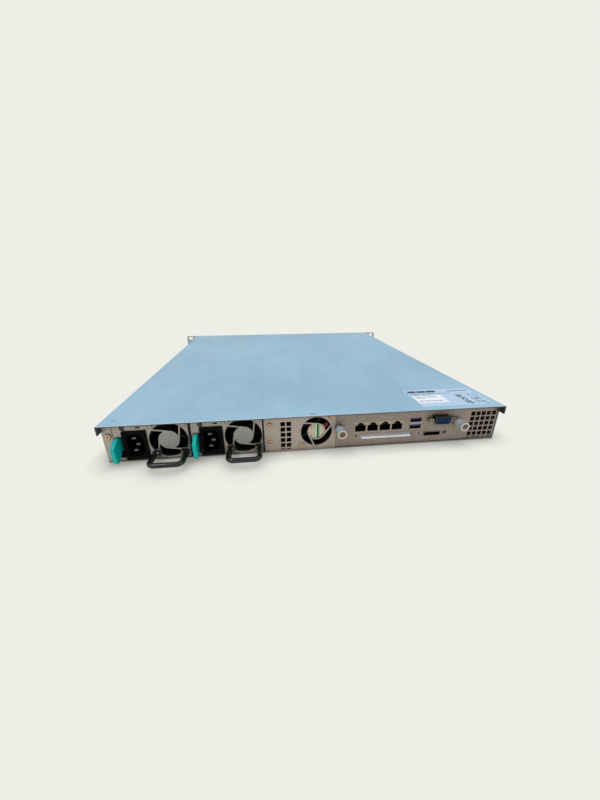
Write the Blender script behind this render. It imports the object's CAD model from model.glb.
"""Rack server: covered chassis, four drive trays, a board tray with ports, two power modules.

Frame: x across the width, y from the front (0) to the rear panel (about 492), z up.
Sizes are in mm and become metres when a piece is made. The camera looks at the rear.
"""
import math
import random

import bmesh
import bpy
from mathutils import Matrix, Vector


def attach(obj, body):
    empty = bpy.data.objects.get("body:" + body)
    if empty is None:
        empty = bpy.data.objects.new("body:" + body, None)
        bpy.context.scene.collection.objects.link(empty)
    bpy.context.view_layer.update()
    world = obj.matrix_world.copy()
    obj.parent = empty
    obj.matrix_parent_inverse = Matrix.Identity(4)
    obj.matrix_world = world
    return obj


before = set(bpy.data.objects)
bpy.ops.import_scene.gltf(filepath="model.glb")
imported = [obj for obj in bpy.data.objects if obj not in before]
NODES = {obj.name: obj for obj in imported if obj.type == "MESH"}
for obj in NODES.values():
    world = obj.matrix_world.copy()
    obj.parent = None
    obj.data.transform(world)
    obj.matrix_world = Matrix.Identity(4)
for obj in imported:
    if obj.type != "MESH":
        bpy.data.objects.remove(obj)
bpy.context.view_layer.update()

random.seed(7)

# ------------------------------------------------------------------ driving dimensions
HALF_WIDTH = 215.25


def side_x(inset):
    """x of a place that lies inset mm from the +X side."""
    return HALF_WIDTH - inset


PSU_INSET = 10.9  # +X side to the first power module
PSU_PITCH = 75.4


def psu_x(n, offset):
    """x of a place offset mm into power module n, counted from its +X side."""
    return side_x(PSU_INSET + (n - 1) * PSU_PITCH + offset)


PSU_FAN = 53.15  # offsets into a power module
PSU_INLET = 20.4
PSU_LAMP = 10.1
PSU_LAMP_Z = 38.0
PSU_CAPACITORS = 17
PSU_TOROID = 60
INLET_Z = 18.8
BLADES = ((-2.0, -7.4), (-2.0, 6.6), (1.3, -0.4))  # inlet blades: offset, z from the inlet centre
FAN_X, FAN_Z = side_x(217.3), 22.6  # rear fan centre
VGA_X, VGA_Z = side_x(359.0), 29.4
USB_X = side_x(330.0)
USB_ROWS = (21.4, 29.8)
NETWORK_X = [side_x(266.5 + 13.97 * j) for j in range(4)]
PORT_SCREW_X, PORT_SCREW_Z = side_x(367.2), 12.0
THUMB_LEFT_X = side_x(242.3)
THUMB_RIGHT_X = side_x(379.4)
MID_FANS_X = (-72.0, -150.0)
MID_FAN_Z = 20.15
BAYS_X = (-160.0, -53.25, 53.25, 160.0)
BOARD_TOP = 17.4  # where parts sit on the main board
LABEL_TOP = 44.12
PATCH_LIFT = 0.1  # white patch above the label


# ------------------------------------------------------------------ material tools
def srgb(*rgb):
    linear = []
    for c in rgb:
        c = c / 255.0
        linear.append(c / 12.92 if c <= 0.04045 else ((c + 0.055) / 1.055) ** 2.4)
    return (*linear, 1.0)


def shade(colour, factor, lift=0.0):
    return tuple(min(1.0, c * factor + lift) for c in colour[:3]) + (1.0,)


class Nodes:
    """Makes and wires the nodes of one shader tree."""

    def __init__(self, tree):
        self.tree = tree

    def fill(self, node, inputs):
        for key, value in inputs.items():
            if isinstance(value, bpy.types.NodeSocket):
                self.tree.links.new(value, node.inputs[key])
            else:
                node.inputs[key].default_value = value

    def add(self, kind, inputs, **settings):
        node = self.tree.nodes.new("ShaderNode" + kind)
        for key, value in settings.items():
            setattr(node, key, value)
        self.fill(node, inputs)
        return node

    def remap(self, value, span, to):
        return self.add("MapRange", {
            "Value": value, "From Min": span[0], "From Max": span[1],
            "To Min": to[0], "To Max": to[1],
        }).outputs["Result"]

    def ramp(self, value, stops):
        node = self.add("ValToRGB", {"Fac": value})
        elements = node.color_ramp.elements
        while len(elements) < len(stops):
            elements.new(0.5)
        for element, (position, colour) in zip(elements, stops):
            element.position = position
            element.color = colour
        return node.outputs["Color"]

    def occlusion(self, samples, distance):
        return self.add("AmbientOcclusion", {"Distance": distance}, samples=samples).outputs["AO"]

    def by_ray(self, lighting, seen):
        """One shader for light bounces, another for what the camera sees."""
        camera_ray = self.add("LightPath", {}).outputs["Is Camera Ray"]
        return self.add("MixShader", {"Fac": camera_ray, 1: lighting, 2: seen}).outputs["Shader"]


class Finish(Nodes):
    """A material driven by textures in object space."""

    def __init__(self, name):
        self.mat = bpy.data.materials.new("m_" + name)
        self.mat.use_nodes = True
        super().__init__(self.mat.node_tree)
        self.place = self.add("TexCoord", {}).outputs["Object"]

    def mapped(self, scale, turn=0.0, shift=(0, 0, 0)):
        return self.add("Mapping", {
            "Scale": scale, "Rotation": (0, 0, turn), "Location": shift, "Vector": self.place,
        }).outputs["Vector"]

    def noise(self, scale, detail, rough, place=None, distortion=0.0):
        return self.add("TexNoise", {
            "Scale": scale, "Detail": detail, "Roughness": rough, "Distortion": distortion,
            "Vector": self.place if place is None else place,
        }).outputs["Fac"]

    def cells(self, scale, output):
        return self.add("TexVoronoi", {"Scale": scale, "Vector": self.place}).outputs[output]

    def mix(self, factor, under, over):
        # 6 and 7 are the colour sockets of the mix node
        return self.add("Mix", {0: factor, 6: under, 7: over}, data_type="RGBA").outputs[2]

    def plus(self, a, b):
        return self.add("Math", {0: a, 1: b}, operation="ADD").outputs[0]

    def times(self, a, b):
        return self.add("Math", {0: a, 1: b}, operation="MULTIPLY").outputs[0]

    def bump(self, height, strength, distance, normal=None):
        inputs = {"Strength": strength, "Distance": distance, "Height": height}
        if normal is not None:
            inputs["Normal"] = normal
        return self.add("Bump", inputs).outputs["Normal"]

    def bevel(self, radius):
        return self.add("Bevel", {"Radius": radius}, samples=4).outputs["Normal"]

    def sheet_normal(self, roll, fine, strength):
        """Rolling grain and fine pitting over softened sheet edges."""
        height = self.plus(self.times(roll, 0.5), self.times(fine, 0.5))
        return self.bump(height, strength, distance=0.0002, normal=self.bevel(radius=0.00035))

    def surface(self, inputs):
        self.fill(self.tree.nodes["Principled BSDF"], inputs)
        return self.mat


# ------------------------------------------------------------------ materials
def sheet_metal(name, light, dark, metallic=0.85, rough=(0.34, 0.5), grain=(1.0, 30.0, 1.0),
                mottle=40.0, tint=None, speck=0.5, corner=0.0):
    """Bare zinc-coated sheet: cloudy mottling, rolling grain, rubbed marks, darker corners."""
    net = Finish(name)
    light, dark = srgb(*light), srgb(*dark)
    middle = tuple((a + b) / 2 for a, b in zip(light, dark))
    cloud = net.noise(scale=mottle, detail=5.0, rough=0.62, distortion=0.3)
    fine = net.noise(scale=420.0, detail=3.0, rough=0.7)
    base = net.ramp(cloud, [(0.28, dark), (0.5, middle), (0.72, light)])
    if tint is not None:
        shifted = net.mapped(scale=(1, 1, 1), shift=(3.1, 7.7, 1.3))
        hue = net.noise(scale=mottle * 0.45, detail=3.0, rough=0.5, place=shifted)
        base = net.mix(net.remap(hue, span=(0.42, 0.68), to=(0.0, 0.5)), base, srgb(*tint))
    specks = net.remap(fine, span=(0.35, 0.75), to=(0.0, 0.22 * speck))
    base = net.mix(specks, base, shade(dark, factor=0.7))
    roll = net.noise(scale=90.0, detail=3.0, rough=0.6, place=net.mapped(scale=grain))
    streaks = net.mapped(scale=(1.0, 42.0, 1.0), turn=0.35)
    scratch = net.noise(scale=60.0, detail=2.0, rough=0.5, place=streaks)
    scratch = net.times(net.remap(scratch, span=(0.70, 0.76), to=(0.0, 1.0)), 0.10)
    base = net.mix(scratch, base, (0.9, 0.93, 0.95, 1.0))
    if corner > 0.0:
        shadow = net.occlusion(samples=6, distance=0.010)
        shadow = net.remap(shadow, span=(0.32, 0.84), to=(corner, 0.0))
        base = net.mix(shadow, base, srgb(48, 38, 32))
    return net.surface({
        "Base Color": base,
        "Metallic": metallic,
        "Roughness": net.plus(net.remap(cloud, span=(0.3, 0.7), to=rough),
                              net.remap(roll, span=(0.3, 0.7), to=(-0.05, 0.06))),
        "Normal": net.sheet_normal(roll, fine, strength=0.10),
    })


def lid_metal():
    """Cover sheet: broad clouds, wipe marks, rubs, small spangle and a chafed rear edge."""
    net = Finish("cover_sheet")
    cloud = net.noise(scale=5.0, detail=3.0, rough=0.5, distortion=0.2)
    wipe = net.noise(scale=9.0, detail=5.0, rough=0.62, distortion=0.25,
                     place=net.mapped(scale=(3.4, 0.9, 1.0), turn=0.22))
    rub = net.noise(scale=30.0, detail=3.0, rough=0.6,
                    place=net.mapped(scale=(1.0, 4.0, 1.0), turn=-0.5))
    fine = net.noise(scale=420.0, detail=3.0, rough=0.7)
    spangle = net.cells(scale=210.0, output="Color")
    base = net.ramp(cloud, [(0.34, srgb(162, 199, 220)), (0.5, srgb(169, 207, 228)),
                            (0.66, srgb(176, 214, 234))])
    # source, its span, the share of colour laid over, that colour
    for source, span, share, colour in (
        (wipe, (0.50, 0.68), (0.0, 0.34), (152, 189, 211)),
        (wipe, (0.32, 0.47), (0.30, 0.0), (192, 226, 242)),
        (rub, (0.60, 0.74), (0.0, 0.22), (206, 232, 242)),
        (spangle, (0.3, 0.8), (0.0, 0.10), (146, 182, 204)),
        (fine, (0.35, 0.75), (0.0, 0.10), (120, 150, 172)),
    ):
        base = net.mix(net.remap(source, span=span, to=share), base, srgb(*colour))
    # the rubbed rear edge, brighter towards the power modules; spans in metres
    xyz = net.add("SeparateXYZ", {"Vector": net.place}).outputs
    rim = net.remap(xyz["Y"], span=(0.4962, 0.4984), to=(0.0, 1.0))
    along = net.remap(xyz["X"], span=(-0.14, 0.04), to=(0.10, 0.75))
    chafe = net.noise(scale=55.0, detail=3.0, rough=0.6)
    chafe = net.remap(chafe, span=(0.35, 0.6), to=(0.35, 1.0))
    base = net.mix(net.times(net.times(rim, along), chafe), base, srgb(240, 246, 250))
    roll = net.noise(scale=90.0, detail=3.0, rough=0.6, place=net.mapped(scale=(40.0, 1.5, 1.0)))
    return net.surface({
        "Base Color": base,
        "Metallic": 0.86,
        "Roughness": net.plus(net.remap(wipe, span=(0.3, 0.7), to=(0.34, 0.44)),
                              net.remap(roll, span=(0.3, 0.7), to=(-0.04, 0.05))),
        "Normal": net.sheet_normal(roll, fine, strength=0.08),
    })


def plain(name, rgb, rough, metallic, variation, cloud_scale, bump, grain_scale,
          edge=0.0003, coat=0.0, specular=0.5):
    """One colour with slight clouds and a fine grain; edge is the softened edge radius."""
    net = Finish(name)
    colour = srgb(*rgb)
    cloud = net.noise(scale=cloud_scale, detail=4.0, rough=0.6)
    grain = net.noise(scale=grain_scale, detail=2.0, rough=0.5)
    return net.surface({
        "Base Color": net.ramp(cloud, [(0.3, shade(colour, 1 - variation)),
                                       (0.7, shade(colour, 1 + variation))]),
        "Metallic": metallic,
        "Roughness": net.plus(
            net.remap(cloud, span=(0.3, 0.7), to=(rough - 0.06, rough + 0.08)),
            net.remap(grain, span=(0.3, 0.7), to=(-0.03, 0.03))),
        "Coat Weight": coat,
        "Specular IOR Level": specular,
        "Normal": net.bump(grain, strength=bump, distance=0.0001,
                           normal=net.bevel(edge) if edge else None),
    })


def board(name, rgb):
    """Solder-mask board: traces as faint lines, pads as small bright dots."""
    net = Finish(name)
    green = srgb(*rgb)
    wave = net.add("TexWave", {
        "Scale": 120.0, "Distortion": 9.0, "Detail": 1.0, "Detail Scale": 0.6,
        "Vector": net.place,
    }).outputs["Fac"]
    trace = net.remap(wave, span=(0.62, 0.72), to=(0.0, 1.0))
    dots = net.cells(scale=330.0, output="Distance")
    dots = net.remap(dots, span=(0.12, 0.17), to=(1.0, 0.0))
    base = net.mix(trace, green, shade(green, factor=2.1, lift=0.01))
    return net.surface({
        "Base Color": net.mix(dots, base, (0.62, 0.58, 0.45, 1.0)),
        "Roughness": 0.32,
        "Normal": net.bump(net.plus(trace, dots), strength=0.3, distance=0.00004),
    })


def lamp(name, rgb, glow):
    net = Finish(name)
    colour = srgb(*rgb)
    cloud = net.noise(scale=500.0, detail=2.0, rough=0.5)
    return net.surface({
        "Base Color": net.ramp(cloud, [(0.3, colour), (0.7, shade(colour, factor=1.2))]),
        "Roughness": 0.25,
        "Emission Color": colour,
        "Emission Strength": glow,
    })


REAR_PANEL = dict(metallic=0.80, rough=(0.36, 0.55), grain=(1.0, 1.0, 26.0), speck=0.8,
                  corner=0.75)
ACROSS = (30.0, 1.0, 1.0)  # noise scale for grain that varies fastest along x
MATERIALS = {
    "lid": lid_metal(),
    "lidedge": sheet_metal("cover_cut_edge", light=(104, 100, 98), dark=(74, 70, 68),
                           metallic=0.9, rough=(0.25, 0.4), mottle=120.0, speck=0.3),
    "flange": sheet_metal("cover_flange_inside", light=(96, 102, 108), dark=(68, 72, 76),
                          metallic=0.6, rough=(0.4, 0.55), mottle=60.0),
    "panel": sheet_metal("fan_panel_sheet", light=(194, 181, 167), dark=(162, 149, 134),
                         mottle=120.0, tint=(178, 162, 158), **REAR_PANEL),
    "panel_psu": sheet_metal("power_panel_sheet", light=(190, 181, 170), dark=(154, 145, 133),
                             mottle=150.0, tint=(166, 160, 158), **REAR_PANEL),
    "panel_tray": sheet_metal("port_panel_sheet", light=(168, 154, 142), dark=(136, 122, 112),
                              mottle=110.0, tint=(156, 140, 138), **REAR_PANEL),
    "inner": sheet_metal("inner_sheet", light=(170, 174, 176), dark=(154, 158, 161),
                         rough=(0.32, 0.46)),
    "innerdark": sheet_metal("tray_floor_sheet", light=(122, 126, 128), dark=(106, 110, 113),
                             rough=(0.36, 0.5)),
    "cage": sheet_metal("cage_sheet", light=(174, 178, 182), dark=(156, 161, 165),
                        mottle=55.0, grain=ACROSS),
    "side": sheet_metal("side_sheet", light=(170, 182, 190), dark=(156, 169, 177),
                        mottle=30.0, grain=ACROSS),
    "hub": sheet_metal("guard_hub", light=(178, 174, 170), dark=(156, 152, 147),
                       metallic=0.7, rough=(0.42, 0.58), mottle=160.0, speck=0.7),
    "pcb": board("board_green", rgb=(8, 46, 26)),
    "led": lamp("lamp_lens", rgb=(120, 170, 130), glow=0.15),
    "leddark": lamp("lamp_dark", rgb=(40, 44, 42), glow=0.0),
}
# key, name, colour, roughness, metallic, variation, cloud scale, bump, grain scale, extras
for key, *row, extras in (
    ("ear", "ear_finish", (168, 174, 178), 0.42, 0.75, 0.08, 40, 0.25, 700, {}),
    ("zinc", "zinc_screw", (170, 172, 170), 0.34, 0.95, 0.12, 300, 0.1, 900, {}),
    ("gold", "yellow_zinc_screw", (204, 172, 138), 0.34, 0.9, 0.18, 260, 0.1, 900, {}),
    ("nickel", "nickel", (196, 208, 218), 0.38, 0.55, 0.05, 200, 0.04, 900, {"edge": 0.0004}),
    ("nickelface", "nickel_turned_face", (218, 204, 188), 0.42, 0.55, 0.05, 200, 0.04, 900,
     {"edge": 0.0004}),
    ("recess", "screw_recess", (128, 98, 76), 0.45, 0.85, 0.2, 300, 0.1, 900, {}),
    ("shield", "port_shield", (164, 150, 136), 0.33, 0.9, 0.1, 150, 0.08, 900, {}),
    ("darkshell", "display_shell", (72, 68, 66), 0.36, 0.9, 0.15, 150, 0.08, 900, {}),
    ("bright", "slot_strip", (236, 238, 242), 0.22, 0.95, 0.04, 100, 0.05, 900, {}),
    ("black", "black_moulding", (22, 22, 23), 0.5, 0, 0.15, 140, 0.25, 1400, {"specular": 0.25}),
    ("inlet", "inlet_moulding", (9, 9, 10), 0.6, 0, 0.15, 140, 0.25, 1400, {"specular": 0.05}),
    ("blackgloss", "black_rotor", (20, 21, 24), 0.28, 0, 0.15, 140, 0.08, 1400, {}),
    ("frame", "fan_frame", (10, 11, 13), 0.5, 0, 0.15, 140, 0.2, 1400, {"specular": 0.12}),
    ("handle", "handle_sleeve", (9, 9, 11), 0.19, 0, 0.1, 90, 0.1, 700,
     {"coat": 0.35, "specular": 0.35}),
    ("lug", "handle_lug", (92, 92, 94), 0.35, 0.9, 0.12, 140, 0.15, 900, {}),
    ("teal", "release_teal", (0, 172, 163), 0.36, 0, 0.05, 60, 0.08, 900,
     {"coat": 0.05, "specular": 0.22}),
    ("blue", "display_blue", (8, 46, 84), 0.5, 0, 0.1, 120, 0.1, 1200, {"specular": 0.15}),
    ("usbblue", "tongue_blue", (36, 42, 92), 0.4, 0, 0.1, 120, 0.1, 1200, {"specular": 0.3}),
    ("cavity", "socket_cavity", (10, 10, 12), 0.6, 0, 0.1, 120, 0.1, 1200, {"specular": 0.1}),
    ("chip", "chip", (28, 28, 30), 0.5, 0, 0.1, 200, 0.15, 2000, {}),
    ("alloy", "alloy", (178, 180, 184), 0.36, 0.95, 0.06, 80, 0.12, 1000, {}),
    ("cast", "drive_casting", (150, 153, 158), 0.46, 0.85, 0.08, 120, 0.3, 1500, {}),
    ("drivelid", "drive_lid", (178, 182, 188), 0.3, 0.95, 0.05, 60, 0.1, 900, {}),
    ("bezel", "bezel_moulding", (34, 36, 40), 0.5, 0, 0.1, 100, 0.3, 1600, {}),
    ("lever", "lever_moulding", (54, 57, 62), 0.45, 0, 0.1, 100, 0.3, 1600, {}),
    ("button", "button", (150, 154, 160), 0.35, 0.2, 0.06, 100, 0.1, 900, {}),
    ("goldpin", "contact_gold", (212, 176, 96), 0.28, 1, 0.08, 200, 0.05, 900, {}),
    ("tin", "blade_tin", (104, 104, 102), 0.3, 0.9, 0.08, 200, 0.05, 900, {}),
    ("label", "label_film", (176, 202, 226), 0.34, 0.15, 0.03, 50, 0.05, 500, {"edge": 0}),
    ("labelwhite", "label_white", (226, 232, 238), 0.45, 0, 0.02, 50, 0.05, 500, {"edge": 0}),
    ("ink", "label_ink", (92, 108, 128), 0.6, 0, 0.1, 200, 0.02, 500, {"edge": 0}),
    ("inkdark", "label_ink_dark", (38, 46, 58), 0.6, 0, 0.1, 200, 0.02, 500, {"edge": 0}),
    ("hubsticker", "hub_sticker", (214, 206, 184), 0.42, 0.1, 0.06, 500, 0.05, 500, {"edge": 0}),
    ("green", "sticker_green", (12, 74, 34), 0.45, 0, 0.08, 90, 0.05, 500, {"edge": 0}),
    ("palegreen", "sticker_pale_green", (132, 190, 146), 0.45, 0, 0.05, 90, 0.05, 500,
     {"edge": 0}),
    ("salmon", "sticker_salmon", (206, 160, 140), 0.45, 0, 0.05, 90, 0.05, 500, {"edge": 0}),
    ("wire_red", "wire_red", (164, 60, 48), 0.45, 0, 0.1, 90, 0.05, 900, {}),
    ("wire_black", "wire_black", (24, 24, 26), 0.45, 0, 0.1, 90, 0.05, 900, {}),
    ("wire_yellow", "wire_yellow", (216, 176, 40), 0.45, 0, 0.1, 90, 0.05, 900, {}),
    ("wire_blue", "wire_blue", (36, 84, 168), 0.45, 0, 0.1, 90, 0.05, 900, {}),
    ("cap", "cap_sleeve", (28, 36, 62), 0.35, 0, 0.08, 90, 0.05, 900, {}),
    ("captop", "cap_top", (196, 198, 202), 0.3, 0.95, 0.05, 90, 0.05, 900, {}),
    ("tape", "transformer_tape", (196, 160, 40), 0.4, 0, 0.08, 90, 0.1, 900, {}),
    ("copper", "winding_copper", (172, 96, 52), 0.32, 0.9, 0.1, 300, 0.2, 1800, {}),
    ("ferrite", "ferrite", (52, 54, 58), 0.6, 0.1, 0.1, 200, 0.3, 900, {}),
    ("cream", "connector_cream", (222, 214, 190), 0.45, 0, 0.05, 120, 0.1, 900, {}),
):
    MATERIALS[key] = plain(*row, **extras)

# ------------------------------------------------------------------ painting the CAD nodes
ANY = (-math.inf, math.inf)


def below(limit):
    return (-math.inf, limit)


def above(limit):
    return (limit, math.inf)


def around(centre, reach):
    return (centre - reach, centre + reach)


def faces_rear(normal):
    return normal.y > 0.7


def faces_up(normal):
    return normal.z > 0.7


def faces_down(normal):
    return normal.z < -0.7


def faces_side(normal):
    return abs(normal.x) > 0.7


def rule(mat, x=ANY, y=ANY, z=ANY, facing=None):
    """Material for the faces whose centres lie in the spans and whose normals pass facing."""
    return mat, (x, y, z), facing


def paint(node, default, *rules):
    """Gives a CAD node its materials; the last rule that fits a face wins."""
    mesh = NODES[node].data
    names = list(dict.fromkeys([default] + [mat for mat, _, _ in rules]))
    mesh.materials.clear()
    for name in names:
        mesh.materials.append(MATERIALS[name])
    for face in mesh.polygons:
        centre = face.center * 1000.0
        chosen = default
        for mat, spans, facing in rules:
            inside = all(lo <= at <= hi for at, (lo, hi) in zip(centre, spans))
            if inside and (facing is None or facing(face.normal)):
                chosen = mat
        face.material_index = names.index(chosen)


for mat, nodes in {
    "zinc": ("ear_screws",),
    "ear": ("rack_ear_left", "rack_ear_right"),
    "bezel": ("control_pod",),
    "button": ("power_button", "mute_button"),
    "cage": ("drive_cage", "power_bay"),
    "frame": ("rear_fan_frame", "mid_fan_frames", "psu_1_fan_frame", "psu_2_fan_frame"),
    "blackgloss": ("rear_fan_rotor", "mid_fan_rotor_1", "mid_fan_rotor_2",
                   "psu_1_fan_rotor", "psu_2_fan_rotor"),
    "panel": ("rear_fan_panel",),
    "alloy": ("heat_sink",),
}.items():
    for node in nodes:
        paint(node, mat)

# cover and chassis
paint("top_cover", "lid",
      rule("lidedge", y=above(498.0), z=above(42.9), facing=faces_rear),
      rule("inner", x=(-214.0, 214.0), z=(42.0, 43.2), facing=faces_down),
      rule("flange", x=(-215.0, 215.0), z=(34.0, 43.1), facing=faces_side),
      rule("flange", y=above(498.0), z=(34.0, 42.9), facing=faces_rear))
paint("chassis_base", "inner",
      rule("panel_psu", y=above(489.5)),
      rule("side", x=below(-213.6)),
      rule("side", x=above(213.6), y=below(489.5)))
paint("cover_screws", "zinc", rule("recess", z=(43.2, 43.5)))
paint("rear_screws", "gold", rule("recess", y=(492.6, 492.8)))
paint("rating_label", "label", rule("labelwhite", z=above(44.13)))
paint("control_board", "pcb",
      rule("chip", y=(-8.3, -4.3)),
      rule("led", y=(-14, -4.3), z=(27.2, 29.4)),
      rule("led", y=(-14, -4.3), z=(4.0, 9.1)))
paint("drive_backplane", "pcb", rule("black", y=below(158.7)))
paint("midplane_board", "pcb", rule("black", y=above(293.8)))
paint("wiring", "wire_black", rule("cream", y=below(166.4)), rule("cream", y=above(286)))

# board tray
paint("board_tray", "innerdark",
      rule("panel_tray", y=above(490.3)),
      rule("nickel", x=around(THUMB_LEFT_X, 3.3), y=above(492.0), z=(21.0, 28.4)),
      rule("nickel", x=around(THUMB_RIGHT_X, 3.3), y=above(492.0), z=(21.6, 29.2)))
paint("main_board", "pcb",
      rule("chip", z=above(17.5)),
      rule("alloy", x=(-71, -49), y=(329, 351), z=above(17.5)),
      rule("goldpin", y=below(305.0)),
      rule("chip", y=above(480.0), z=(15.0, 17.5), facing=faces_rear))
SOCKET_Z = below(22.45)
paint("memory_modules", "pcb",
      rule("black", y=below(327.6), z=SOCKET_Z),
      rule("black", y=above(396.4), z=SOCKET_Z),
      rule("black", x=below(-202.8), z=SOCKET_Z),
      rule("black", x=(-201.2, -187.8), z=SOCKET_Z),
      rule("black", x=above(-186.2), z=SOCKET_Z))
paint("ethernet_ports", "shield", rule("cavity", y=(477.0, 491.2), z=(18.2, 30.9)))
paint("usb_ports", "shield",
      rule("cavity", x=around(USB_X, 6.7), y=(475.5, 491.2), z=(18.6, 32.6)),
      rule("usbblue", x=around(USB_X, 5.7), y=(475.9, 491.3), z=(21.3, 23.3)),
      rule("usbblue", x=around(USB_X, 5.7), y=(475.9, 491.3), z=(29.8, 31.8)))
paint("vga_port", "darkshell",
      rule("blue", x=around(VGA_X, 8.5), y=(489.4, 496.45), z=(25.65, 33.15)),
      rule("black", y=below(484.2)),
      rule("shield", x=(VGA_X - 16.5, VGA_X - 9.5), y=(484.3, 500), z=(20, 40)),
      rule("shield", x=(VGA_X + 9.5, VGA_X + 16.5), y=(484.3, 500), z=(20, 40)))
paint("expansion_port", "shield", rule("cavity", y=(477.5, 491.5), z=(9.0, 13.6)))
paint("slot_cover", "inner", rule("bright", y=above(489.6), z=(9.0, 12.2)))
for node, x in (("thumbscrew_left", THUMB_LEFT_X), ("thumbscrew_right", THUMB_RIGHT_X)):
    paint(node, "nickel",
          rule("nickelface", y=above(506.4), facing=lambda normal: normal.y > 0.5),
          rule("recess", x=around(x, 3.55), y=(504.2, 506.4), facing=faces_rear))


def paint_power_module(n):
    paint(f"psu_{n}_case", "panel_psu",
          rule("hub", x=around(psu_x(n, PSU_FAN), 10.6), y=(491.0, 492.2), z=(12.0, 33.2),
               facing=faces_rear),
          rule("inner", y=below(489.0)),
          rule("lug", y=above(492.1)))
    inlet_x = psu_x(n, PSU_INLET)
    paint(f"psu_{n}_inlet", "inlet", *(
        rule("tin", x=around(inlet_x - offset, 2.05), y=(476.9, 489.9),
             z=around(INLET_Z + rise, 1.05))
        for offset, rise in BLADES))
    paint(f"psu_{n}_handle", "handle")
    paint(f"psu_{n}_latch", "teal")
    on_board = above(6.7)
    paint(f"psu_{n}_board", "pcb",
          rule("tape", y=(330, 362.1), z=on_board),
          rule("cap", y=(368, 430), z=on_board),
          rule("alloy", x=(psu_x(n, 50.2), psu_x(n, 46.8)), y=(370, 442), z=on_board),
          rule("alloy", x=(psu_x(n, 34.2), psu_x(n, 30.8)), y=(370, 442), z=on_board),
          rule("copper", x=(psu_x(n, 68), psu_x(n, 52)), y=(391, 409), z=on_board),
          rule("leddark", y=above(485), z=above(30)),
          rule("goldpin", y=below(305.0)))


def paint_drive_tray(n):
    paint(f"tray_{n}", "bezel", rule("cage", y=above(0.9)))
    paint(f"tray_lever_{n}", "lever")
    paint(f"drive_{n}", "cast",
          rule("drivelid", y=(3.4, 150.6), z=above(28.3), facing=faces_up),
          rule("pcb", y=(9, 144), z=below(3.1)))


for n in (1, 2):
    paint_power_module(n)
for n in (1, 2, 3, 4):
    paint_drive_tray(n)


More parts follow.
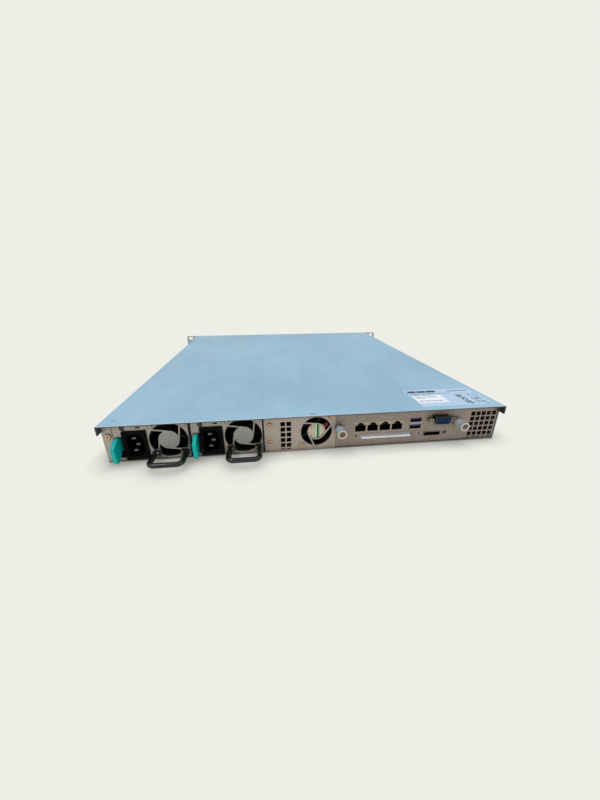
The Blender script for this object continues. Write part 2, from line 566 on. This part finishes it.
# ------------------------------------------------------------------ small added parts
class Piece:
    """Collects small solids (mm) into one object; leaving the with block makes it.

    mats become its slots in order; a solid takes the first unless it names another.
    """

    def __init__(self, name, body, *mats):
        self.name, self.body, self.mats = name, body, mats
        self.bm = bmesh.new()

    def __enter__(self):
        return self

    def slot(self, mat):
        return self.mats.index(mat) if mat else 0

    def _finish_solid(self, verts, bevel, mat):
        edges = set()
        faces = set()
        for v in verts:
            for e in v.link_edges:
                if len(e.link_faces) == 2 and e.calc_face_angle(0.0) > 0.6:
                    edges.add(e)
        for v in verts:
            faces.update(v.link_faces)
        if bevel > 0 and edges:
            for f in faces:
                f.material_index = self.slot(mat)
            made = bmesh.ops.bevel(self.bm, geom=list(edges), offset=bevel, segments=1,
                                   affect="EDGES", profile=0.5)
            faces = made["faces"]
        for f in faces:
            f.material_index = self.slot(mat)

    def box(self, x0, x1, y0, y1, z0, z1, mat=None, bevel=0.12):
        centre = Vector(((x0 + x1) / 2, (y0 + y1) / 2, (z0 + z1) / 2))
        size = (abs(x1 - x0), abs(y1 - y0), abs(z1 - z0))
        place = Matrix.Translation(centre) @ Matrix.Diagonal((*size, 1.0))
        made = bmesh.ops.create_cube(self.bm, size=1.0, matrix=place)
        self._finish_solid(made["verts"], min(bevel, 0.3 * min(size)), mat)

    def cyl(self, axis, a, b, lo, hi, radius, mat=None, seg=24, bevel=0.12):
        """Cylinder from lo to hi on the axis; a and b are the other two coordinates."""
        mid = (lo + hi) / 2
        turn, centre = {
            "x": (Matrix.Rotation(math.pi / 2, 4, "Y"), (mid, a, b)),
            "y": (Matrix.Rotation(-math.pi / 2, 4, "X"), (a, mid, b)),
            "z": (Matrix.Identity(4), (a, b, mid)),
        }[axis]
        made = bmesh.ops.create_cone(
            self.bm, cap_ends=True, segments=seg, radius1=radius, radius2=radius,
            depth=abs(hi - lo), matrix=Matrix.Translation(Vector(centre)) @ turn)
        self._finish_solid(made["verts"], min(bevel, 0.3 * abs(hi - lo), 0.3 * radius), mat)

    def cross(self, axis, a, b, arm, half, spans, mat):
        """Two crossed bars facing y or z; spans are their extents on that axis."""
        for da, db, span in ((arm, half, spans[0]), (half, arm, spans[1])):
            flat = around(b, db)
            rest = (*span, *flat) if axis == "y" else (*flat, *span)
            self.box(*around(a, da), *rest, mat, bevel=0)

    def skin(self, rings, caps, slot):
        """Side faces between successive rings of vertices, then the two caps."""

    def tube(self, points, radius, mat=None, seg=8):
        slot = self.slot(mat)
        points = [Vector(p) for p in points]
        rings = []
        up = Vector((0.13, 0.21, 1.0)).normalized()
        for i, p in enumerate(points):
            along = (points[min(i + 1, len(points) - 1)] - points[max(i - 1, 0)]).normalized()
            side = along.cross(up)
            if side.length < 0.05:
                side = along.cross(Vector((1, 0, 0)))
            side.normalize()
            rise = side.cross(along).normalized()
            ring = []
            for j in range(seg):
                turn = 2 * math.pi * j / seg
                spoke = side * math.cos(turn) + rise * math.sin(turn)
                ring.append(self.bm.verts.new(p + spoke * radius))
            rings.append(ring)
        for near, far in zip(rings, rings[1:]):
            for j in range(seg):
                after = (j + 1) % seg
                f = self.bm.faces.new((near[j], near[after], far[after], far[j]))
                f.material_index = slot
                f.smooth = True
        for cap in (rings[0][::-1], rings[-1]):
            self.bm.faces.new(cap).material_index = slot

    def band(self, x0, x1, y1, radius, mat):
        """Upright band on the rear fan's hub sticker, its ends cut to a circle."""
        xs = [x0 + (x1 - x0) * i / 6 for i in range(7)]
        arc = [(x, math.sqrt(max(radius * radius - x * x, 0.01))) for x in xs]
        outline = arc + [(x, -z) for x, z in reversed(arc)]
        inner, outer = [
            [self.bm.verts.new((FAN_X + x, y, FAN_Z + z)) for x, z in outline]
            for y in (490.83, y1)]
        count = len(outline)
        faces = [self.bm.faces.new(inner[::-1]), self.bm.faces.new(outer)]
        for i in range(count):
            j = (i + 1) % count
            faces.append(self.bm.faces.new((inner[i], inner[j], outer[j], outer[i])))
        for f in faces:
            f.material_index = self.slot(mat)

    def __exit__(self, *_):
        bmesh.ops.recalc_face_normals(self.bm, faces=self.bm.faces)
        bmesh.ops.scale(self.bm, vec=(0.001, 0.001, 0.001), verts=self.bm.verts)
        mesh = bpy.data.meshes.new(self.name)
        self.bm.to_mesh(mesh)
        self.bm.free()
        for mat in self.mats:
            mesh.materials.append(MATERIALS[mat])
        made = bpy.data.objects.new(self.name, mesh)
        bpy.context.scene.collection.objects.link(made)
        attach(made, self.body)


del Piece.skin


def curve(a, b, c, d, n=14):
    """Cubic from a to d with handles b and c."""
    a, b, c, d = (Vector(p) for p in (a, b, c, d))
    points = []
    for i in range(n + 1):
        t = i / n
        s = 1 - t
        points.append(a * s ** 3 + b * 3 * t * s ** 2 + c * 3 * t * t * s + d * t ** 3)
    return points


# --- printing on the cover label: inset from the +X side (from, to), y (from, to), 1 if dark
LABEL_PRINT = (
    (339.4, 350.4, 441.6, 447.8, 1), (351.4, 362.6, 442.0, 447.8, 1),
    (363.6, 375.6, 441.8, 447.6, 1), (341.0, 351.0, 450.8, 452.4, 0),
    (352.4, 360.8, 451.2, 452.6, 0), (362.0, 371.4, 451.0, 452.4, 0),
    (372.8, 381.0, 451.4, 452.6, 0), (382.4, 391.8, 451.6, 452.8, 0),
    (341.4, 352.0, 454.6, 455.8, 0), (353.2, 364.0, 454.8, 456.0, 0),
    (390.6, 396.4, 444.6, 446.8, 0), (397.2, 404.8, 444.4, 446.6, 0),
    (405.6, 411.0, 444.4, 446.4, 0), (411.8, 419.0, 444.2, 446.2, 0),
    (394.0, 396.4, 457.6, 466.0, 1), (397.4, 400.2, 459.0, 464.2, 1),
    (394.6, 400.4, 467.6, 470.0, 1), (394.6, 397.0, 471.4, 475.0, 1),
    (398.6, 401.0, 471.0, 475.4, 1), (394.0, 396.2, 477.6, 485.4, 1),
    (397.4, 401.6, 478.0, 481.0, 1), (397.4, 401.6, 482.8, 485.6, 1),
    (408.6, 414.0, 457.4, 459.0, 0), (415.2, 421.0, 457.2, 458.8, 0),
    (409.0, 409.8, 459.6, 464.0, 0), (419.6, 420.4, 459.6, 464.0, 0),
    (409.0, 420.4, 464.0, 464.8, 0), (407.4, 418.6, 468.6, 469.4, 0),
    (407.4, 408.2, 469.4, 474.6, 0), (417.8, 418.6, 469.4, 474.6, 0),
    (410.4, 415.8, 470.8, 473.2, 1), (407.4, 418.6, 474.6, 475.4, 0),
    (406.0, 412.0, 479.4, 480.8, 0), (413.2, 419.4, 479.2, 480.6, 0),
    (406.4, 410.6, 482.6, 483.8, 0), (411.8, 418.0, 482.4, 483.6, 0),
    (413.6, 420.4, 486.4, 487.6, 0),
)
PATCH_PRINT = (
    (342.0, 349.0, 461.0, 462.4, 0), (350.0, 357.4, 461.0, 462.4, 0),
    (358.6, 368.4, 460.8, 462.2, 0), (342.0, 352.0, 464.4, 465.4, 0),
    (341.4, 346.0, 473.4, 475.0, 0), (347.0, 355.4, 473.4, 475.0, 0),
    (356.6, 363.0, 473.2, 474.8, 0), (364.2, 369.4, 473.2, 474.8, 0),
)
with Piece("label_print", "cover", "ink", "inkdark") as part:
    for bars, face_z in ((LABEL_PRINT, LABEL_TOP), (PATCH_PRINT, LABEL_TOP + PATCH_LIFT)):
        for u0, u1, y0, y1, dark in bars:
            part.box(side_x(u1), side_x(u0), y0, y1, face_z - 0.01, face_z + 0.05,
                     "inkdark" if dark else "ink", bevel=0)

# --- rear fan: hub sticker and leads
with Piece("rear_fan_sticker", "chassis",
           "hubsticker", "green", "palegreen", "salmon", "inkdark") as part:
    part.cyl("y", FAN_X, FAN_Z, 490.69, 490.84, 8.5, seg=48, bevel=0.04)
    part.band(0.9, 2.2, 490.87, 8.3, "palegreen")
    part.band(-2.6, -0.6, 490.90, 8.3, "green")
    part.band(-4.6, -2.8, 490.87, 8.2, "palegreen")
    part.band(4.2, 6.2, 490.86, 8.2, "salmon")
    part.band(-7.0, -6.0, 490.86, 8.0, "salmon")
    for i in range(5):
        z = FAN_Z + 2.4 * i
        part.box(FAN_X + 2.8, FAN_X + 3.7, 490.83, 490.87, z - 5.5, z - 4.3, "inkdark", bevel=0)
with Piece("rear_fan_leads", "chassis", "wire_red", "wire_yellow", "wire_black") as part:
    for dz, mat in ((0.0, "wire_red"), (1.6, "wire_black"), (3.2, "wire_red")):
        part.tube(curve((FAN_X - 7.2, 489.9, FAN_Z + 4.0 + dz * 0.6),
                        (FAN_X - 9.5, 490.8, FAN_Z + 4.9 + dz * 0.8),
                        (FAN_X - 12.4, 490.4, FAN_Z + 6.0 + dz),
                        (FAN_X - 15.2, 488.4, FAN_Z + 6.6 + dz)), 0.5, mat)

# --- inner fans: hub labels, leads to the midplane board
with Piece("inner_fan_stickers", "chassis", "hubsticker", "inkdark") as part:
    for x in MID_FANS_X:
        part.cyl("y", x, MID_FAN_Z, 200.19, 200.34, 8.6, seg=40, bevel=0.04)
        for i in range(4):
            part.box(x - 5.4 + i, x + 5.4 - i * 1.2, 200.33, 200.37,
                     24.0 - 2.4 * i, 24.9 - 2.4 * i, "inkdark", bevel=0)
WIRES = ("wire_red", "wire_black", "wire_yellow", "wire_blue")
with Piece("inner_fan_leads", "chassis", *WIRES, "cream") as part:
    for x in MID_FANS_X:
        for i, mat in enumerate(WIRES):
            o = 1.5 * i
            part.tube(curve((x + 20.6, 190.0, 8.0 + o * 0.5), (x + 24, 205, 5.0),
                            (x + 16 + o, 262, 5.0), (x + 16 + o, 286.9, 10.0 + 0.2 * i), n=18),
                      0.65, mat)
        part.box(x + 14.2, x + 22.4, 286.6, 291.7, 8.2, 13.0, "cream")

# --- chassis: rivets, floor screws, board parts, cable ties
with Piece("side_wall_rivets", "chassis", "zinc") as part:
    for s in (-1, 1):
        for y in (92.0, 150.0, 268.0, 330.0, 392.0, 452.0):
            for z in (5.2, 30.8):
                part.cyl("x", y, z, s * 213.9, s * 214.5, 1.9, seg=20, bevel=0.3)
FLOOR_SCREWS = [(x, y) for y in (22, 152) for x in (-204, -106.6, 0, 106.6, 204)]
FLOOR_SCREWS += [(x, y) for x in (204, 128, 58) for y in (306, 400, 478)]
with Piece("floor_screws", "chassis", "zinc", "recess") as part:
    for x, y in FLOOR_SCREWS:
        part.cyl("z", x, y, -0.12, 0.3, 2.9, bevel=0.06)
        part.cross("z", x, y, 1.7, 0.28, ((-0.15, -0.05), (-0.16, -0.05)), "recess")
with Piece("backplane_parts", "chassis", "chip", "cream", "captop", "cap", "goldpin") as part:
    for x in BAYS_X:
        part.box(x + 8, x + 17, 160.7, 162.2, 8, 15)
        part.box(x + 22, x + 27, 160.7, 161.9, 22, 26)
        for i in range(4):
            part.box(x + 20 + 4.2 * i, x + 22.2 + 4.2 * i, 160.7, 161.6, 34.6, 36.0, "cream")
        part.cyl("y", x + 34, 12, 160.6, 168.0, 3.1, "cap")
        part.cyl("y", x + 34, 12, 168.0, 168.25, 2.6, "captop")
        for i in range(15):
            part.box(x - 40.6 + 2.5 * i, x - 39.4 + 2.5 * i, 160.5, 161.2, 7.8, 8.8,
                     "goldpin", bevel=0)
with Piece("midplane_parts", "chassis", "chip", "cream", "captop", "cap", "alloy") as part:
    for i in range(5):
        x = -190 + 48 * i
        part.box(x, x + 9, 290.2, 291.9, 12, 20)
        part.box(x + 14, x + 19, 290.8, 291.9, 10, 14)
    for i in range(6):
        x = 66 + 22 * i
        part.cyl("y", x, 17.5, 283.6, 291.95, 4.0, "cap")
        part.cyl("y", x, 17.5, 283.35, 283.6, 3.4, "captop")
    for i in range(7):
        part.box(-196 + 58 * i, -192 + 58 * i, 291.0, 292.0, 37.0, 39.0, "alloy")
    for n in (1, 2):
        for i in range(14):
            part.box(*around(psu_x(n, 14.5 + 3.4 * i), 0.7), 291.1, 292.0, 4.4, 7.4,
                     "alloy", bevel=0)
with Piece("cable_ties", "chassis", "cream") as part:
    w = 17.8  # half width of the loop
    for x, y, z in ((69.0, 229.5, 7.6), (84.8, 259.0, 9.4)):
        width = around(y, 1.2)
        part.box(*around(x, w), *width, z + 2.6, z + 3.4, bevel=0.2)
        part.box(x - w - 0.8, x - w, *width, z - 3.0, z + 3.4, bevel=0.2)
        part.box(x + w, x + w + 0.8, *width, z - 3.0, z + 3.4, bevel=0.2)
        part.box(*around(x, w), *width, z - 3.4, z - 2.6, bevel=0.2)
        part.box(x + 6, x + 10, *around(y, 1.9), z + 3.2, z + 5.2, bevel=0.3)

# --- board tray: port contacts and springs
with Piece("network_contacts", "board_tray", "goldpin", "led", "leddark", "black") as part:
    for c in NETWORK_X:
        for i in range(8):
            x = c - 3.57 + 1.02 * i
            part.tube([(x, 478.6, 25.6), (x, 481.0, 25.4), (x, 485.2, 23.6), (x, 486.0, 23.9)],
                      0.2, seg=6)
        part.box(c - 5.9, c - 3.9, 490.0, 490.9, 26.75, 27.95, "led", bevel=0.08)
        part.box(c + 3.9, c + 5.9, 490.0, 490.9, 26.75, 27.95, "leddark", bevel=0.08)
        part.box(*around(c, 5.5), 478.1, 479.0, 19.4, 25.8, "black", bevel=0.1)
with Piece("network_shield_springs", "board_tray", "shield") as part:
    for c in NETWORK_X:
        for s in (-1, 1):
            part.box(*around(c + s * 1.6, 0.8), 482.0, 491.3, 30.78, 31.05, bevel=0.08)
    for x, minus, plus in ((side_x(258.6), 0.05, 0.25), (side_x(315.8), 0.25, 0.05)):
        part.box(x - minus, x + plus, 480.0, 490.4, 21.0, 26.0, bevel=0.08)
with Piece("serial_bus_contacts", "board_tray", "goldpin") as part:
    for z in USB_ROWS:
        for i in range(4):
            part.box(*around(USB_X - 3.9 + 2.6 * i, 0.45), 480.0, 490.6, z - 0.06, z + 0.02,
                     bevel=0)
        for i in range(5):
            part.box(*around(USB_X - 4.0 + 2.0 * i, 0.3), 478.0, 481.0, z - 0.1, z + 0.02,
                     bevel=0)
with Piece("serial_bus_springs", "board_tray", "shield") as part:
    for z in USB_ROWS:
        for s in (-1, 1):
            part.box(*around(USB_X + s * 3.2, 1.0), 483.0, 491.0, z + 2.3, z + 2.5, bevel=0.06)
with Piece("display_port_contacts", "board_tray", "cavity") as part:
    for dz, shift in ((2.0, 0.0), (0.0, -1.15), (-2.0, 0.0)):
        for i in range(5):
            part.cyl("y", VGA_X + shift + 2.3 * (i - 2) + 0.3, VGA_Z + dz, 496.2, 496.5, 0.62,
                     seg=12, bevel=0)
with Piece("expansion_port_screw", "board_tray", "lug", "recess") as part:
    part.cyl("y", PORT_SCREW_X, PORT_SCREW_Z, 491.35, 492.3, 2.0, bevel=0.35)
    part.cyl("y", PORT_SCREW_X, PORT_SCREW_Z, 486.0, 491.4, 1.2, bevel=0)
    part.cross("y", PORT_SCREW_X, PORT_SCREW_Z, 1.2, 0.25,
               ((492.1, 492.34), (492.1, 492.35)), "recess")

# --- board tray: parts on the main board
with Piece("board_screws", "board_tray", "zinc", "recess") as part:
    for x, y in ((-205, 312), (-205, 470), (-120, 312), (-120, 470), (-34, 312), (-34, 460)):
        part.cyl("z", x, y, BOARD_TOP, 19.0, 2.9, bevel=0.5)
        part.cross("z", x, y, 1.7, 0.28, ((18.86, 19.04), (18.86, 19.05)), "recess")
with Piece("main_board_parts", "board_tray",
           "cap", "captop", "chip", "ferrite", "cream", "alloy", "black") as part:
    for i in range(6):
        part.box(*around(-84 + 9.4 * i, 3.6), *around(356.0, 3.6), BOARD_TOP, 21.4,
                 "ferrite", bevel=0.5)
    # rows of capacitors: x, first y, pitch, count, top
    for x, y0, pitch, count, top in ((-158, 340, 8.6, 8, 25.4), (-40, 372, 9.0, 5, 24.0)):
        for i in range(count):
            part.cyl("z", x, y0 + pitch * i, BOARD_TOP, top, 3.1, "cap")
            part.cyl("z", x, y0 + pitch * i, top, top + 0.25, 2.7, "captop")
    part.box(-46, -34, 318, 346, BOARD_TOP, 26.0, "cream")
    part.box(-100, -70, 440, 452, BOARD_TOP, 22.0, "black")
    for i in range(12):
        part.box(-98.6 + 2.4 * i, -97.4 + 2.4 * i, 442, 450, 21.8, 22.6, "alloy", bevel=0)
    for x0, x1, y0, y1, top in ((-150, -128, 436, 458, 19.4), (-176, -168, 440, 462, 19.2),
                                (-60, -50, 390, 404, 18.8), (-112, -102, 412, 426, 18.8)):
        part.box(x0, x1, y0, y1, BOARD_TOP, top, "chip")
    rnd = random.Random(11)
    for i in range(64):
        x, y = rnd.uniform(-200, -36), rnd.uniform(410, 466)
        if rnd.random() < 0.5:
            y = rnd.uniform(316, 332)
        a, b = (1.6, 0.8) if rnd.random() < 0.5 else (0.8, 1.6)
        part.box(*around(x, a / 2), *around(y, b / 2), 17.38, 18.1,
                 "alloy" if i % 3 else "chip", bevel=0.08)
with Piece("heat_sink_clips", "board_tray", "zinc", "black") as part:
    for x, y in ((-148.0, 332.6), (-94.0, 332.6), (-148.0, 409.4), (-94.0, 409.4)):
        part.cyl("z", x, y, BOARD_TOP, 24.0, 2.0, "black")
        part.cyl("z", x, y, 24.0, 25.6, 3.0, bevel=0.4)
    for y0, y1 in ((331.6, 336.4), (405.6, 410.4)):
        part.box(-151, -91, y0, y1, 20.4, 22.4, bevel=0.3)
MEMORY_X = (-205.0, -190.0)
with Piece("memory_chips", "board_tray", "chip", "goldpin", "alloy") as part:
    for x in MEMORY_X:
        for i in range(8):
            y = 330.5 + 8.1 * i
            part.box(x + 3.62, x + 4.5, y, y + 6.4, 26.0, 36.0, bevel=0.1)
            part.box(x + 1.5, x + 2.38, y, y + 6.4, 26.0, 36.0, bevel=0.1)
            for j in range(3):
                part.box(x + 3.6, x + 3.95, y + 0.6 + 2.1 * j, y + 1.6 + 2.1 * j, 23.6, 24.3,
                         "alloy", bevel=0)
with Piece("memory_socket_latches", "board_tray", "cream") as part:
    for x in MEMORY_X:
        for y0, y1 in ((322.4, 326.0), (398.0, 401.6)):
            part.box(x + 1.2, x + 4.8, y0, y1, 17.6, 27.4, bevel=0.4)


# --- power modules
def guard_screws(n, body):
    with Piece(f"psu_{n}_guard_screws", body, "zinc", "recess") as part:
        for s in (-1, 1):
            x, z = psu_x(n, PSU_FAN) + s * 16.0, 38.6
            part.cyl("y", x, z, 491.9, 493.1, 2.1, bevel=0.4)
            part.cyl("y", x, z, 486.0, 492.0, 1.3, bevel=0)
            part.cross("y", x, z, 1.3, 0.22, ((493.0, 493.13), (493.0, 493.14)), "recess")


def module_leads(n, body):
    mats = ("wire_black", "wire_blue", "wire_yellow", "wire_red")
    with Piece(f"psu_{n}_leads", body, *mats) as part:
        for i, (offset, rise) in enumerate(BLADES):
            x, z = psu_x(n, PSU_INLET + offset), INLET_Z + rise
            end = psu_x(n, 14 + 4 * i)
            part.cyl("y", x, z, 462.5, 468.6, 1.5)
            part.tube(curve((x, 463.0, z), (x, 450, z), (end, 462, 16), (end, 450.0, 6.4)),
                      1.0, mats[i])
        for i, mat in enumerate(("wire_red", "wire_black", "wire_yellow")):
            end = psu_x(n, 40 + 2 * i)
            part.tube(curve((psu_x(n, 36.0), 470.0, 8.0 + 1.6 * i), (psu_x(n, 35.0), 462, 9.0),
                            (end, 460, 12), (end, 448.0, 6.4)), 0.6, mat)


def module_board_parts(n, body):
    with Piece(f"psu_{n}_board_parts", body,
               "captop", "chip", "alloy", "ferrite", "copper", "cream", "tape") as part:
        for i in range(3):
            x, y = psu_x(n, PSU_CAPACITORS), 378 + 21 * i
            part.cyl("z", x, y, 33.0, 33.25, 8.2, bevel=0.08)
            part.cross("z", x, y, 5.5, 0.3, ((33.2, 33.32), (33.2, 33.33)), "ferrite")
        part.box(psu_x(n, 63), psu_x(n, 41), 331, 361, 30.9, 33.4, "ferrite", bevel=0.5)
        part.box(psu_x(n, 33), psu_x(n, 13), 337, 355, 25.9, 28.4, "ferrite", bevel=0.5)
        for i in range(4):
            y0, y1 = 376 + 16 * i, 386 + 16 * i
            part.box(psu_x(n, 56.2), psu_x(n, 50.3), y0, y1, 12.0, 28.0, "chip", bevel=0.3)
            part.box(psu_x(n, 30.7), psu_x(n, 26.4), y0, y1, 12.0, 26.0, "chip", bevel=0.3)
        for i in range(10):
            part.box(psu_x(n, 46.6), psu_x(n, 34.4), 372 + 7 * i, 373.2 + 7 * i, 20.0, 33.0,
                     "alloy", bevel=0.2)
        x, y = psu_x(n, PSU_TOROID), 400
        for i in range(9):
            turn = 2 * math.pi * i / 9
            # radius and z of each point of a winding
            part.tube([(x + r * math.cos(turn), y + r * math.sin(turn), z)
                       for r, z in ((2.6, 22.3), (7.9, 22.3), (8.1, 7.6))], 0.75, "copper")
        for i in range(12):
            part.box(*around(psu_x(n, 60 - 4.0 * i), 1.3), 312, 320, 6.5, 8.6 + (i % 3),
                     "chip" if i % 2 else "cream", bevel=0.2)


def module_lamp(n, body):
    with Piece(f"psu_{n}_lamp_ring", body, "black") as part:
        part.cyl("y", psu_x(n, PSU_LAMP), PSU_LAMP_Z, 490.9, 492.25, 2.5, bevel=0.2)
    with Piece(f"psu_{n}_lamp", body, "leddark") as part:
        part.cyl("y", psu_x(n, PSU_LAMP), PSU_LAMP_Z, 492.2, 492.75, 1.8, bevel=0.25)


for n in (1, 2):
    for build in (guard_screws, module_leads, module_board_parts, module_lamp):
        build(n, f"power_module_{n}")


# --- drive trays
def tray_lamps(n, x, body):
    with Piece(f"tray_{n}_lamps", body, "led") as part:
        for i in range(2):
            part.box(x + 50.4, x + 51.4, -9.25, -8.6, 18.0 + 5.0 * i, 20.6 + 5.0 * i, bevel=0.15)


def drive_label(n, x, body):
    with Piece(f"drive_{n}_label", body, "labelwhite", "inkdark") as part:
        part.box(x - 34, x + 30, 30, 100, 28.88, 28.98, bevel=0)
        for i, length in enumerate((40, 52, 34, 46, 24, 50, 38)):
            part.box(x - 30, x - 30 + length, 36 + 8.6 * i, 38.4 + 8.6 * i, 28.97, 29.01,
                     "inkdark", bevel=0)
        for i in range(14):
            start = x - 28 + 2.6 * i
            part.box(start, start + (1.6 if i % 3 else 0.8), 93.4, 98.4, 28.97, 29.01,
                     "inkdark", bevel=0)


def drive_screws(n, x, body):
    with Piece(f"drive_{n}_screws", body, "zinc", "recess") as part:
        for dx, y in ((-44, 9), (44, 9), (-47, 76), (47, 76), (-15, 146), (15, 112)):
            part.cyl("z", x + dx, y, 28.0, 29.3, 2.2, bevel=0.3)
            part.cyl("z", x + dx, y, 29.2, 29.34, 1.1, "recess", seg=6, bevel=0)
        for y in (28.5, 70.0, 130.2):
            for s in (-1, 1):
                part.cyl("x", y, 9.2, x + s * 50.0, x + s * 51.95, 1.45, bevel=0.2)


for n, x in enumerate(BAYS_X, 1):
    for build in (tray_lamps, drive_label, drive_screws):
        build(n, x, f"drive_tray_{n}")

# ------------------------------------------------------------------ camera, floor, light (metres)
scene = bpy.context.scene
PALE = srgb(238, 238, 230)


def add_camera():
    """Behind and above the rear, looking forward and down."""
    data = bpy.data.cameras.new("cam")
    cam = bpy.data.objects.new("cam", data)
    scene.collection.objects.link(cam)
    data.sensor_width = 36.0
    data.lens = 13.356
    data.clip_start = 0.01
    data.clip_end = 200.0
    right = Vector((-0.99307, 0.117517, -0.00084)).normalized()
    ahead = Vector((-0.108526, -0.919789, -0.377107)).normalized()
    up = right.cross(ahead).normalized()
    right = ahead.cross(up).normalized()
    turn = Matrix((right, up, -ahead)).transposed()
    cam.matrix_world = Matrix.Translation(Vector((0.04898, 0.77281, 0.17521))) @ turn.to_4x4()
    scene.camera = cam


def floor_material():
    """Pale matt for light; the camera sees an even tone with a soft contact shadow."""
    mat = bpy.data.materials.new("floor_pale")
    mat.use_nodes = True
    net = Nodes(mat.node_tree)
    matt = mat.node_tree.nodes["Principled BSDF"]
    net.fill(matt, {"Base Color": (0.84, 0.84, 0.79, 1.0), "Roughness": 0.9,
                    "Specular IOR Level": 0.0})
    contact = net.occlusion(samples=24, distance=0.026)
    contact = net.remap(contact, span=(0.38, 1.0), to=(0.32, 1.0))
    glow = net.add("Emission", {"Color": PALE, "Strength": contact}).outputs["Emission"]
    net.fill(mat.node_tree.nodes["Material Output"],
             {"Surface": net.by_ray(lighting=matt.outputs["BSDF"], seen=glow)})
    return mat


def add_floor():
    reach = 60.0
    mesh = bpy.data.meshes.new("floor")
    corners = [(-reach, -reach, 0), (reach, -reach, 0), (reach, reach, 0), (-reach, reach, 0)]
    mesh.from_pydata(corners, [], [(0, 1, 2, 3)])
    floor = bpy.data.objects.new("floor", mesh)
    scene.collection.objects.link(floor)
    floor.location.z = -0.0002
    mesh.materials.append(floor_material())


def add_world():
    """Light graded from below to above; a flat pale backdrop for the camera."""
    world = bpy.data.worlds.new("studio")
    scene.world = world
    world.use_nodes = True
    net = Nodes(world.node_tree)
    backdrop = world.node_tree.nodes["Background"]
    net.fill(backdrop, {"Color": PALE, "Strength": 1.0})
    direction = net.add("TexCoord", {}).outputs["Generated"]
    height = net.add("SeparateXYZ", {"Vector": direction}).outputs["Z"]
    sky = net.ramp(height, [(0.0, (0.55, 0.55, 0.53, 1.0)), (0.16, (0.45, 0.47, 0.48, 1.0)),
                            (0.44, (0.91, 0.95, 0.99, 1.0)), (1.0, (0.98, 0.99, 1.0, 1.0))])
    light = net.add("Background", {"Color": sky, "Strength": 0.95}).outputs["Background"]
    net.fill(world.node_tree.nodes["World Output"],
             {"Surface": net.by_ray(lighting=light, seen=backdrop.outputs["Background"])})


def add_key_light():
    data = bpy.data.lights.new("key", "SUN")
    data.energy = 0.85
    data.angle = math.radians(17)
    sun = bpy.data.objects.new("key", data)
    scene.collection.objects.link(sun)
    sun.rotation_mode = "QUATERNION"
    towards_sun = Vector((0.45, 0.35, 0.82))
    sun.rotation_quaternion = towards_sun.to_track_quat("Z", "Y")


add_camera()
add_floor()
add_world()
add_key_light()

scene.view_settings.view_transform = "Standard"
scene.view_settings.look = "None"
scene.view_settings.exposure = 0.0
scene.view_settings.gamma = 1.0
